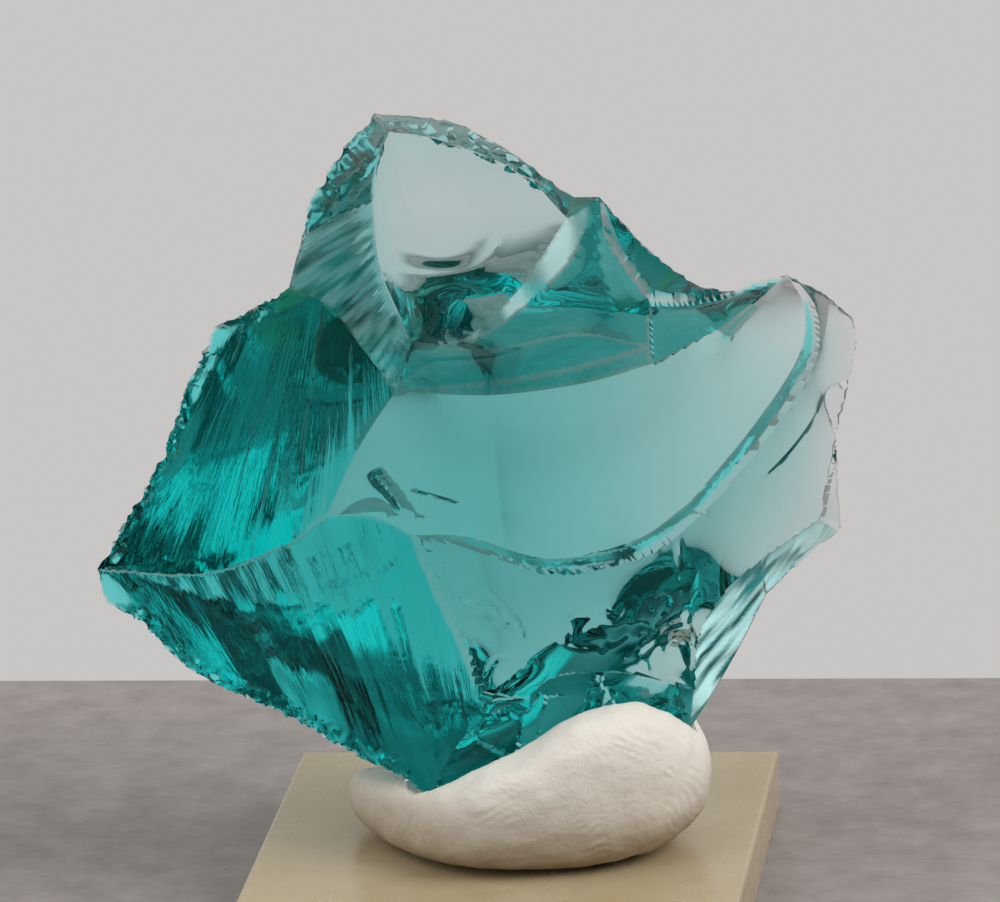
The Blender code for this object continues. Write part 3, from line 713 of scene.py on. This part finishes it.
def relief(name, places, flat, edge_depth, ridges):
    """Height of the fine relief on a face, in mm.

    Flakes are full as far as half their reach from a ridge, and then thin out.  A blunt edge is a parabola,
    steep at its ridge and level where it has its full height.
    """
    height = np.zeros(len(places))
    for forms, form_height in ((RAYS, ray_height), (LINES, line_height), (WAVES, wave_height),
                               (PATCHES, patch_height)):
        if name in forms:
            height += form_height(places, forms[name])
    if name in FLAKES:
        width, steepness, beside, reach, seed = FLAKES[name]
        flakes = flake_height(flat, width, steepness, seed)
        if beside:
            flakes *= np.clip(2 - 2 * distance_to(places, [ridges[pair] for pair in beside]) / reach, 0, 1)
        height += flakes
    height *= np.minimum(1.0, edge_depth / RELIEF_FADE)
    if name in BLUNT:
        pairs, size, width = BLUNT[name]
        curves = [ridges[pair] if pair in ridges else ridges[pair[::-1]] for pair in pairs]
        waver = np.array([noise.noise(Vector(place) / BLUNT_WAVER_WIDTH) for place in places])
        reach = np.clip((distance_to(places, curves) + BLUNT_WAVER * waver) / width, 0, 1)
        height += size * reach * (2 - reach)
    return height


def grain_places(name, places):
    """Where each place lies across and along the finest streaks of a face, and how strong they are there."""
    if name not in GRAIN:
        return np.zeros((len(places), 3))
    start, count, run, strength = GRAIN[name]
    angle, radius = around(start, places)
    return np.column_stack([angle * count, radius / run, np.full(len(places), strength)])


def crushed(name, places):
    """How much of the light each place scatters instead of letting through, in streaks along its grain."""
    if name not in CRUSH:
        return np.zeros(len(places))
    spots = grain_places(name, places) if name in GRAIN else places
    streaks = [noise.noise(Vector((spot[0] / CRUSH_WIDTH, spot[1] / CRUSH_LENGTH, CRUSH_PLANE)))
               for spot in spots]
    return CRUSH[name] * np.clip(CRUSH_MIDDLE + CRUSH_CONTRAST * np.array(streaks), 0, 1)


# ---------------------------------------------------------------------------------- small helpers

# Two points of a CAD mesh that are nearer than this are one.
MERGE_DISTANCE = 0.002 * MM


def linear(hex_colour):
    """Linear RGBA of an sRGB hex colour."""
    values = [int(hex_colour[i:i + 2], 16) / 255 for i in (1, 3, 5)]
    return (*[v / 12.92 if v <= 0.04045 else ((v + 0.055) / 1.055) ** 2.4 for v in values], 1.0)


def add(tree, kind, settings=None, links=None, **properties):
    """Add a node, with values for its inputs, links into them and its own properties."""
    node = tree.nodes.new(kind)
    for name, value in properties.items():
        setattr(node, name, value)
    for name, value in (settings or {}).items():
        node.inputs[name].default_value = value
    for name, source in (links or {}).items():
        tree.links.new(source, node.inputs[name])
    return node


def blend(tree, first, second, share):
    """Mix two colours by a share, and give the result.  The first is a colour, or a node's output."""
    node = tree.nodes.new("ShaderNodeMix")
    node.data_type = "RGBA"
    sockets = {socket.identifier: socket for socket in node.inputs}
    if isinstance(first, bpy.types.NodeSocket):
        tree.links.new(first, sockets["A_Color"])
    else:
        sockets["A_Color"].default_value = first
    sockets["B_Color"].default_value = second
    tree.links.new(share, sockets["Factor_Float"])
    return next(socket for socket in node.outputs if socket.identifier == "Result_Color")


def new_material(name):
    """An empty node material and its output."""
    made = bpy.data.materials.new(name)
    made.use_nodes = True
    made.node_tree.nodes.clear()
    return made, made.node_tree, made.node_tree.nodes.new("ShaderNodeOutputMaterial")


def work_on(piece):
    """Select one piece alone and make it active."""
    if bpy.context.object and bpy.context.object.mode != "OBJECT":
        bpy.ops.object.mode_set(mode="OBJECT")
    bpy.ops.object.select_all(action="DESELECT")
    piece.select_set(True)
    bpy.context.view_layer.objects.active = piece


def keep_within(points, box):
    """Bring the points that lie outside a box back to its sides."""
    low, high = box
    for point in points:
        point.co = [min(max(value, least), most) for value, least, most in zip(point.co, low, high)]


def copy_of_node(node, name):
    """A new piece with a merged copy of a CAD node's mesh."""
    piece = bpy.data.objects.new(name, frame["nodes"][node].data.copy())
    bpy.context.scene.collection.objects.link(piece)
    piece.data.materials.clear()
    work_on(piece)
    bpy.ops.object.mode_set(mode="EDIT")
    bpy.ops.mesh.select_all(action="SELECT")
    bpy.ops.mesh.remove_doubles(threshold=MERGE_DISTANCE)
    bpy.ops.mesh.normals_make_consistent(inside=False)
    bpy.ops.object.mode_set(mode="OBJECT")
    return piece


def apply_modifier(piece, kind, name, **settings):
    """Add a modifier, set it and apply it."""
    work_on(piece)
    modifier = piece.modifiers.new(name, kind)
    for key, value in settings.items():
        setattr(modifier, key, value)
    bpy.ops.object.modifier_apply(modifier=name)


# ---------------------------------------------------------------------------------------- materials

# The glass: what its body lets through (red, green, blue) and how strongly it is coloured (per metre), what
# its surface mirrors, and how deep its finest streaks are.
GLASS_COLOUR = (0.0, 0.76, 0.75, 1)
GLASS_DENSITY = 110.0
GLASS_MIRROR = (0.25, 0.75, 0.75, 1)
STREAK_DEPTH = 0.05 * MM

# The putty: how many blotches and grains of grit there are to a millimetre, and how deep the grit is.  Its
# lower part is darkened and warmed with painted shade, which clears with height (m), and the blotches deepen
# that in places.
PUTTY_OFF_WHITE = "#E4DED4"
PUTTY_PAINTED_SHADE = "#A08F76"
PUTTY_BLOTCHES = 0.5
PUTTY_GRIT = 2.6
GRIT_DEPTH = 0.12 * MM
PAINTED_SHADE_BY_HEIGHT = {"From Min": 3.0 * MM, "From Max": 9.0 * MM, "To Min": 0.75, "To Max": 0.05}
PAINTED_SHADE_RANGE = {"From Min": 0.1, "From Max": 1.15, "To Min": 0.0, "To Max": 1.0}

# The acrylic: what its body lets through and how strongly it is coloured (per metre), how many patches of
# haze and specks of dust there are to a millimetre, where the dust lies thick enough to show, and how
# rough the haze leaves the surface.
ACRYLIC_COLOUR = (0.85, 0.70, 0.35, 1)
ACRYLIC_DENSITY = 60.0
ACRYLIC_YELLOWED = "#D2B680"
ACRYLIC_HAZY = "#F0E0BC"
ACRYLIC_DUST = "#E6E0D2"
HAZE_PATCHES = 0.25
DUST_SPECKS = 4.0
DUSTY = {"From Min": 0.55, "From Max": 0.75, "To Min": 0.0, "To Max": 0.6}
WORN = {"From Min": 0.3, "From Max": 0.7, "To Min": 0.12, "To Max": 0.34}


def teal_glass():
    """Andara glass: a soda-lime slag glass, melted and cast, then broken.

    The break faces are as smooth as poured glass, so they are clear and sharp.  The colour is in the
    body of the glass, so thin edges are nearly clear and thick parts deep blue-green.  Some faces are
    given a deeper colour still, as painted shade where they look dark.  Fine cracks crush parts of the
    bevels, the crescent, the step and the fan, which scatter some light there, and streaks too fine to
    model bend what shows through a face.
    """
    made, tree, out = new_material("cast_andara_glass_broken")
    shader = add(tree, "ShaderNodeBsdfPrincipled", {"IOR": 1.5, "Specular Tint": GLASS_MIRROR})
    frost = add(tree, "ShaderNodeAttribute", attribute_name="frost")
    tree.links.new(frost.outputs["Fac"], shader.inputs["Roughness"])
    clear = add(tree, "ShaderNodeAttribute", attribute_name="clear")
    tree.links.new(clear.outputs["Fac"], shader.inputs["Transmission Weight"])
    # Painted shade: each face's colour, deeper where the face looks dark.
    painted_shade_tint = add(tree, "ShaderNodeAttribute", attribute_name="painted_shade_tint")
    tree.links.new(painted_shade_tint.outputs["Color"], shader.inputs["Base Color"])
    grain = add(tree, "ShaderNodeAttribute", attribute_name="grain")
    parts = add(tree, "ShaderNodeSeparateXYZ", links={"Vector": grain.outputs["Vector"]})
    spot = add(tree, "ShaderNodeCombineXYZ", links={"X": parts.outputs["X"], "Y": parts.outputs["Y"]})
    streaks = add(tree, "ShaderNodeTexNoise", {"Scale": 1.0, "Detail": 3.0, "Roughness": 0.6},
                  {"Vector": spot.outputs["Vector"]})
    shape = add(tree, "ShaderNodeBump", {"Distance": STREAK_DEPTH},
                {"Height": streaks.outputs["Fac"], "Strength": parts.outputs["Z"]})
    tree.links.new(shape.outputs["Normal"], shader.inputs["Normal"])
    body = add(tree, "ShaderNodeVolumeAbsorption", {"Color": GLASS_COLOUR, "Density": GLASS_DENSITY})
    tree.links.new(shader.outputs["BSDF"], out.inputs["Surface"])
    tree.links.new(body.outputs["Volume"], out.inputs["Volume"])
    return made


def white_putty():
    """Mineral-mounting putty: a chalk-filled wax and rubber dough, pressed by hand, matt and off-white."""
    made, tree, out = new_material("chalk_filled_putty_pressed")
    shader = add(tree, "ShaderNodeBsdfPrincipled", {"Roughness": 0.7, "IOR": 1.45})
    place = add(tree, "ShaderNodeTexCoord")
    parts = add(tree, "ShaderNodeSeparateXYZ", links={"Vector": place.outputs["Object"]})
    blotches = add(tree, "ShaderNodeTexNoise",
                   {"Scale": PUTTY_BLOTCHES / MM, "Detail": 6.0, "Roughness": 0.65},
                   {"Vector": place.outputs["Object"]})
    # Painted shade: darker and warmer towards the putty's foot, in blotches, where the plate's warm bounce
    # and shade fall.
    shade_by_height = add(tree, "ShaderNodeMapRange", PAINTED_SHADE_BY_HEIGHT, {"Value": parts.outputs["Z"]},
                  interpolation_type="SMOOTHSTEP")
    patchy_shade = add(tree, "ShaderNodeMath", operation="MULTIPLY_ADD", links={
        0: shade_by_height.outputs["Result"],
        1: blotches.outputs["Fac"],
        2: shade_by_height.outputs["Result"]})
    painted_shade = add(tree, "ShaderNodeMapRange", PAINTED_SHADE_RANGE, {"Value": patchy_shade.outputs["Value"]})
    colour = blend(tree, linear(PUTTY_OFF_WHITE), linear(PUTTY_PAINTED_SHADE), painted_shade.outputs["Result"])
    tree.links.new(colour, shader.inputs["Base Color"])
    grit = add(tree, "ShaderNodeTexNoise", {"Scale": PUTTY_GRIT / MM, "Detail": 4.0, "Roughness": 0.7},
               {"Vector": place.outputs["Object"]})
    bump = add(tree, "ShaderNodeBump", {"Strength": 0.6, "Distance": GRIT_DEPTH},
               {"Height": grit.outputs["Fac"]})
    tree.links.new(bump.outputs["Normal"], shader.inputs["Normal"])
    tree.links.new(shader.outputs["BSDF"], out.inputs["Surface"])
    return made


def yellowed_acrylic():
    """Cast acrylic sheet, sawn and polished, yellowed with age: hazy in patches, worn dull and dusty."""
    made, tree, out = new_material("cast_acrylic_yellowed")
    shader = add(tree, "ShaderNodeBsdfPrincipled", {"IOR": 1.49, "Transmission Weight": 0.45})
    place = add(tree, "ShaderNodeTexCoord")
    haze = add(tree, "ShaderNodeTexNoise", {"Scale": HAZE_PATCHES / MM, "Detail": 5.0, "Roughness": 0.6},
               {"Vector": place.outputs["Object"]})
    dust = add(tree, "ShaderNodeTexNoise", {"Scale": DUST_SPECKS / MM, "Detail": 3.0, "Roughness": 0.8},
               {"Vector": place.outputs["Object"]})
    specks = add(tree, "ShaderNodeMapRange", DUSTY, {"Value": dust.outputs["Fac"]})
    yellow = blend(tree, linear(ACRYLIC_YELLOWED), linear(ACRYLIC_HAZY), haze.outputs["Fac"])
    dusty = blend(tree, yellow, linear(ACRYLIC_DUST), specks.outputs["Result"])
    tree.links.new(dusty, shader.inputs["Base Color"])
    worn = add(tree, "ShaderNodeMapRange", WORN, {"Value": haze.outputs["Fac"]})
    tree.links.new(worn.outputs["Result"], shader.inputs["Roughness"])
    body = add(tree, "ShaderNodeVolumeAbsorption", {"Color": ACRYLIC_COLOUR, "Density": ACRYLIC_DENSITY})
    tree.links.new(shader.outputs["BSDF"], out.inputs["Surface"])
    tree.links.new(body.outputs["Volume"], out.inputs["Volume"])
    return made


# ----------------------------------------------------------------------------------------- the lump

# The ridges at the back that are rounded over, how far from them (mm) and how far back (mm) the points lie
# that move, how often each is drawn to the middle of its neighbours, and what share of the way.
ROUNDED = (("back_top_left", "back_knee"), ("back_knee", "back_low"))
ROUNDED_REACH = 1.3
ROUNDED_BEHIND = 6.0
ROUNDED_PASSES = 60
ROUNDED_SHARE = 0.5

# Two triangles that meet at more than this angle keep a sharp edge between them.
SHARP_ANGLE = radians(24)

# What the glass's material reads at each point: the kind of value that it is, and what Blender calls it.
LOOKS = {
    "frost": ("FLOAT", "value"),
    "grain": ("FLOAT_VECTOR", "vector"),
    "painted_shade_tint": ("FLOAT_COLOR", "color"),
    "clear": ("FLOAT", "value"),
}


def joined_faces(ridges):
    """The break faces, joined along their ridges: places (mm), triangles, and the looks of each place.

    A ridge belongs to two faces, so it has neither one's looks.
    """
    joined, places, triangles = {}, [], []
    looks = {look: [] for look in LOOKS}
    for name, (corners, hollow) in FACES.items():
        face_places, face_triangles, rim = face_skin(name, corners, hollow, ridges)
        grain = grain_places(name, face_places)
        grain[:rim, 2] = 0
        scattered = crushed(name, face_places)
        index = []
        for spot, place in enumerate(face_places):
            inside = spot >= rim
            key = (name, spot) if inside else tuple(place)
            if key not in joined:
                joined[key] = len(places)
                places.append(place)
                looks["frost"].append(FROST.get(name, 0.0) if inside else 0.0)
                looks["grain"].append(grain[spot])
                # The share of red light that a face lets through, lowered as painted shade where it looks
                # dark.
                looks["painted_shade_tint"].append((PAINTED_SHADE_TINT.get(name, 1.0) if inside else 1.0, 1.0, 1.0, 1.0))
                looks["clear"].append(1 - scattered[spot] if inside else 1.0)
            index.append(joined[key])
        triangles += [tuple(index[corner] for corner in triangle) for triangle in face_triangles]
    return places, triangles, looks


def round_over(shape, ridges):
    """Round the creases at the back, which would show through the front as dark curls."""
    behind = [vertex for vertex in shape.verts if vertex.co.y > ROUNDED_BEHIND]
    gaps = distance_to(np.array([vertex.co[:] for vertex in behind]), [ridges[pair] for pair in ROUNDED])
    soft = [vertex for vertex, gap in zip(behind, gaps) if gap < ROUNDED_REACH]
    for _ in range(ROUNDED_PASSES):
        bmesh.ops.smooth_vert(shape, verts=soft, factor=ROUNDED_SHARE, use_axis_x=True, use_axis_y=True,
                              use_axis_z=True)


def glass_lump():
    """The lump of glass, with its fine relief and its finest looks."""
    ridges = all_ridges()
    places, triangles, looks = joined_faces(ridges)
    mesh = bpy.data.meshes.new("glass_lump")
    mesh.from_pydata([tuple(place) for place in places], [], triangles)
    shape = bmesh.new()
    shape.from_mesh(mesh)
    bmesh.ops.recalc_face_normals(shape, faces=shape.faces)
    round_over(shape, ridges)
    shape.transform(LUMP_PLACE @ Matrix.Scale(MM, 4))
    keep_within(shape.verts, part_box("andara_glass"))
    shape.to_mesh(mesh)
    shape.free()
    for look, (kind, field) in LOOKS.items():
        mesh.attributes.new(look, kind, "POINT").data.foreach_set(field, np.ravel(looks[look]))
    mesh.materials.append(teal_glass())
    piece = bpy.data.objects.new("glass_lump", mesh)
    bpy.context.scene.collection.objects.link(piece)
    work_on(piece)
    bpy.ops.object.shade_smooth_by_angle(angle=SHARP_ANGLE)
    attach(piece, "root")
    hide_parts("andara_glass")


# ---------------------------------------------------------------------------- the putty and the plate

# Millimetres between the points of the putty, and how strongly and how often it is smoothed.
PUTTY_STEP = 0.13
PUTTY_SMOOTHING = 0.5
PUTTY_SMOOTH_PASSES = 14

# How high and wide its soft dents are (mm), and the finer dents in them, as shares of those.
DENT_HEIGHT = 0.16
DENT_WIDTH = 3.0
FINE_DENT_HEIGHT = 0.5
FINE_DENT_WIDTH = 0.4

# How far (mm) all of it is drawn in, so that dents and prints stay inside its own size, and how far above
# its foot (mm) they begin.
PUTTY_INSET = 0.05
PUTTY_FOOT = 0.3

# Finger prints: the middle of each and how far it reaches, the place that its ridges curve round (x, z),
# and how far apart and how high the ridges are, in mm.
PRINTS = [
    ((5.0, -19.8), 2.6, (5.2, -23.5)),
    ((-1.0, -18.3), 2.6, (-2.0, -36.0)),
    ((8.6, -17.0), 2.4, (1.0, -29.0)),
    ((-5.0, -17.6), 2.0, (8.0, -20.0)),
    ((6.0, -14.6), 2.2, (9.0, -9.0)),
]
PRINT_RIDGE = 0.46
PRINT_HEIGHT = 0.032

# How far the ridges of a print wander and how wide one bend is (mm).
PRINT_WANDER = 0.9
PRINT_BEND = 1.6

# How much of the prints is left and how much that differs, how wide the worn places are (mm), and the
# plane of the noise that they are read in.
PRINT_LEFT = 0.5
PRINT_WEAR = 1.4
PRINT_WORN_WIDTH = 0.9
PRINT_WORN_PLANE = 5


def print_height(spot):
    """Height (mm) of the finger ridges at a spot (x, z) of the putty, seen from the front."""
    best, height = 0.0, 0.0
    for (x, z), reach, (turn_x, turn_z) in PRINTS:
        weight = exp(-((spot[0] - x) ** 2 + (spot[1] - z) ** 2) / reach ** 2)
        if weight > best:
            radius = ((spot[0] - turn_x) ** 2 + (spot[1] - turn_z) ** 2) ** 0.5
            wander = PRINT_WANDER * noise.noise(Vector((spot[0], spot[1], 0)) / PRINT_BEND)
            best, height = weight, weight * sin(2 * pi * (radius + wander) / PRINT_RIDGE)
    place = Vector((spot[0], spot[1], PRINT_WORN_PLANE)) / PRINT_WORN_WIDTH
    left = PRINT_LEFT + PRINT_WEAR * noise.noise(place)
    return height * PRINT_HEIGHT * min(1.0, max(0.0, left))


def putty_roll():
    """The roll of putty: soft dents where it was squeezed, and the ridges of the fingers that did it."""
    piece = copy_of_node("mounting_putty", "putty_roll")
    apply_modifier(piece, "REMESH", "even", mode="VOXEL", voxel_size=PUTTY_STEP * MM)
    apply_modifier(piece, "SMOOTH", "soften", factor=PUTTY_SMOOTHING, iterations=PUTTY_SMOOTH_PASSES)
    viewer = LUMP_PLACE.inverted()
    low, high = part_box("mounting_putty")
    lifts = []
    for vertex in piece.data.vertices:
        seen = viewer @ vertex.co / MM
        fine_dent = FINE_DENT_HEIGHT * noise.noise(seen / (DENT_WIDTH * FINE_DENT_WIDTH))
        dent = DENT_HEIGHT * (noise.noise(seen / DENT_WIDTH) + fine_dent)
        fade = min(1.0, max(0.0, (vertex.co.z - low[2]) / MM - PUTTY_FOOT))
        lifts.append(vertex.normal * (print_height((seen.x, seen.z)) + dent - PUTTY_INSET) * fade * MM)
    for vertex, lift in zip(piece.data.vertices, lifts):
        vertex.co += lift
    keep_within(piece.data.vertices, (low, high))
    piece.data.materials.append(white_putty())
    piece.data.shade_smooth()
    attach(piece, "root")
    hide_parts("mounting_putty")


def plate():
    """The CAD's own plate, in yellowed acrylic."""
    node = frame["nodes"]["base_plate"]
    for slot in node.material_slots:
        slot.material = yellowed_acrylic()


# ------------------------------------------------------------------------------------- the room

# The table's two greys, how many mottles it has to a millimetre, its width, depth and thickness (m), and how
# far behind the object's middle it ends (m).
TABLE_DARK = "#6C6662"
TABLE_PALE = "#AEA7A4"
TABLE_MOTTLES = 0.35
TABLE_SIZE = (1.6, 1.0, 0.03)
TABLE_END = 0.035


def stage():
    """A plain pale table with an edge just behind the object."""
    made, tree, out = new_material("plain_pale_table")
    shader = add(tree, "ShaderNodeBsdfPrincipled", {"Roughness": 0.8})
    place = add(tree, "ShaderNodeTexCoord")
    mottle = add(tree, "ShaderNodeTexNoise", {"Scale": TABLE_MOTTLES / MM, "Detail": 8.0, "Roughness": 0.7},
                 {"Vector": place.outputs["Object"]})
    colour = blend(tree, linear(TABLE_DARK), linear(TABLE_PALE), mottle.outputs["Fac"])
    tree.links.new(colour, shader.inputs["Base Color"])
    tree.links.new(shader.outputs["BSDF"], out.inputs["Surface"])
    bpy.ops.object.select_all(action="DESELECT")
    middle = (0, TABLE_END - TABLE_SIZE[1] / 2, -TABLE_SIZE[2] / 2)
    bpy.ops.mesh.primitive_cube_add(size=1.0, location=middle)
    table = bpy.context.object
    table.name = "table"
    table.scale = TABLE_SIZE
    bpy.ops.object.transform_apply(location=True, rotation=True, scale=True)
    table.data.materials.append(made)


# How bright the room is, by direction from the object.  The wall goes from dark behind the viewer to pale
# beyond the object (by Y), the ceiling adds light overhead (by Z), a large soft window adds light around its
# own direction, and all of it is dimmed under the table (by Z).
ROOM_COLOUR = "#C8C6C5"
WALL = {"From Min": -0.1, "From Max": 0.65, "To Min": 0.13, "To Max": 1.0}
CEILING = {"From Min": 0.35, "From Max": 1.0, "To Min": 0.0, "To Max": 0.45}
WINDOW = {"From Min": 0.80, "From Max": 0.96, "To Min": 0.0, "To Max": 2.0}
WINDOW_DIRECTION = (0.56, -0.42, 0.71)
UNDERSIDE = {"From Min": -0.80, "From Max": -0.52, "To Min": 0.25, "To Max": 1.0}


def world():
    """A plain soft room: pale behind the object, with light overhead, a soft window and a dim underside."""
    room = bpy.data.worlds.new("soft_room")
    room.use_nodes = True
    tree = room.node_tree
    tree.nodes.clear()
    place = add(tree, "ShaderNodeTexCoord")
    parts = add(tree, "ShaderNodeSeparateXYZ", links={"Vector": place.outputs["Generated"]})
    wall = add(tree, "ShaderNodeMapRange", WALL, {"Value": parts.outputs["Y"]},
               interpolation_type="SMOOTHSTEP")
    ceiling = add(tree, "ShaderNodeMapRange", CEILING, {"Value": parts.outputs["Z"]},
                  interpolation_type="SMOOTHSTEP")
    room_light = add(tree, "ShaderNodeMath", links={0: wall.outputs["Result"], 1: ceiling.outputs["Result"]},
                     operation="ADD")
    towards = add(tree, "ShaderNodeVectorMath", {1: WINDOW_DIRECTION}, {0: place.outputs["Generated"]},
                  operation="DOT_PRODUCT")
    window = add(tree, "ShaderNodeMapRange", WINDOW, {"Value": towards.outputs["Value"]},
                 interpolation_type="SMOOTHSTEP")
    lit = add(tree, "ShaderNodeMath", links={0: room_light.outputs["Value"], 1: window.outputs["Result"]},
              operation="ADD")
    underside = add(tree, "ShaderNodeMapRange", UNDERSIDE, {"Value": parts.outputs["Z"]},
                    interpolation_type="SMOOTHSTEP")
    strength = add(tree, "ShaderNodeMath", links={0: lit.outputs["Value"], 1: underside.outputs["Result"]},
                   operation="MULTIPLY")
    light = add(tree, "ShaderNodeBackground", {"Color": linear(ROOM_COLOUR)},
                {"Strength": strength.outputs["Value"]})
    out = add(tree, "ShaderNodeOutputWorld")
    tree.links.new(light.outputs["Background"], out.inputs["Surface"])
    bpy.context.scene.world = room


# The spot that the lamps look at, in m.
LAMP_TARGET = Vector((0, 0, 0.02))


def soft_light(name, place, size, power):
    """A square soft lamp that looks at the object.

    It is hidden from what the glass mirrors and lets through, where it would be a hard white patch.
    """
    data = bpy.data.lights.new(name, "AREA")
    data.size = size
    data.energy = power
    lamp = bpy.data.objects.new(name, data)
    lamp.visible_transmission = False
    lamp.visible_glossy = False
    lamp.location = place
    lamp.rotation_euler = (LAMP_TARGET - Vector(place)).to_track_quat("-Z", "Y").to_euler()
    bpy.context.scene.collection.objects.link(lamp)


def camera():
    """The camera at the viewer's place."""
    back = Vector((sin(VIEW_AZIMUTH) * cos(VIEW_HEIGHT_ANGLE), -cos(VIEW_AZIMUTH) * cos(VIEW_HEIGHT_ANGLE),
                   sin(VIEW_HEIGHT_ANGLE)))
    right = Vector((cos(VIEW_AZIMUTH), sin(VIEW_AZIMUTH), 0))
    up = back.cross(right)
    turned_right = right * cos(VIEW_ROLL) - up * sin(VIEW_ROLL)
    turned_up = right * sin(VIEW_ROLL) + up * cos(VIEW_ROLL)
    data = bpy.data.cameras.new("camera")
    data.lens = LENS
    data.sensor_width = PICTURE_WIDTH
    data.sensor_fit = "HORIZONTAL"
    data.clip_start = NEAREST
    data.clip_end = FARTHEST
    seer = bpy.data.objects.new("camera", data)
    turn = Matrix((turned_right, turned_up, back)).transposed().to_4x4()
    seer.matrix_world = Matrix.Translation(VIEW_TARGET + back * VIEW_DISTANCE) @ turn
    bpy.context.scene.collection.objects.link(seer)
    bpy.context.scene.camera = seer


noise.seed_set(BEND_SEED)
bpy.context.scene.view_settings.view_transform = "Standard"
camera()
glass_lump()
putty_roll()
plate()
stage()
world()
soft_light("key", place=(0.60, -0.16, 0.52), size=0.45, power=3.8)
soft_light("fill", place=(-0.55, -0.30, 0.38), size=0.80, power=3.6)
